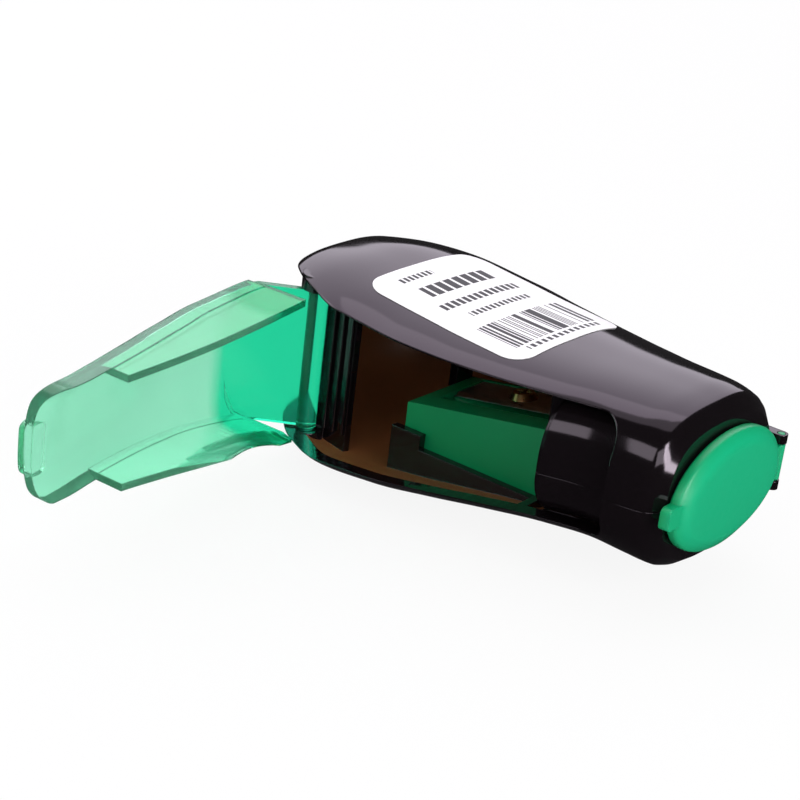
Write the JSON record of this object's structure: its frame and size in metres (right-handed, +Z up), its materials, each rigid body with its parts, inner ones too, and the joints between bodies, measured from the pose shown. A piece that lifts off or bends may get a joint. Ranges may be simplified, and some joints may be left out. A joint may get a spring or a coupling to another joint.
{
  "type": "pencil sharpener",
  "caption": "Egg-shaped hand-held pencil sharpener with a shavings chamber, a hinged translucent door, a wedge block with its blade, and a flip cap over the pencil hole.",
  "frame": {"origin": "centre of the pencil hole at the mouth face of the sharpening block", "axes": "+X along the pencil hole towards the nose, where the pencil comes out; +Y across the body, away from the door; +Z up, square to the seam of the two half shells"},
  "size_m": [0.0868, 0.1039, 0.035],
  "materials": {
    "shell": "polished black styrene",
    "door": "clear tinted green",
    "block": "moulded green",
    "blade": "ground",
    "screw": "turned",
    "cap": "moulded green",
    "label": "printed paper"
  },
  "bodies": {
    "body": {"upper_shell": "shell", "lower_shell": "shell", "sharpener_block": "block", "blade": "blade", "blade_screw": "screw", "label": "label"},
    "door": {"shavings_door": "door"},
    "cap": {"entry_cap": "cap"}
  },
  "joints": [
    {"name": "door_hinge", "type": "hinge", "parent": "body", "child": "door", "pos_m": [-0.0446, -0.0145, 0], "axis": [0, 0, 1], "range_deg": [0, 88]},
    {"name": "cap_hinge", "type": "hinge", "parent": "body", "child": "cap", "pos_m": [0.0267, 0.0162, 0.0032], "axis": [0, 0, 1], "range_deg": [0, 110]}
  ]
}
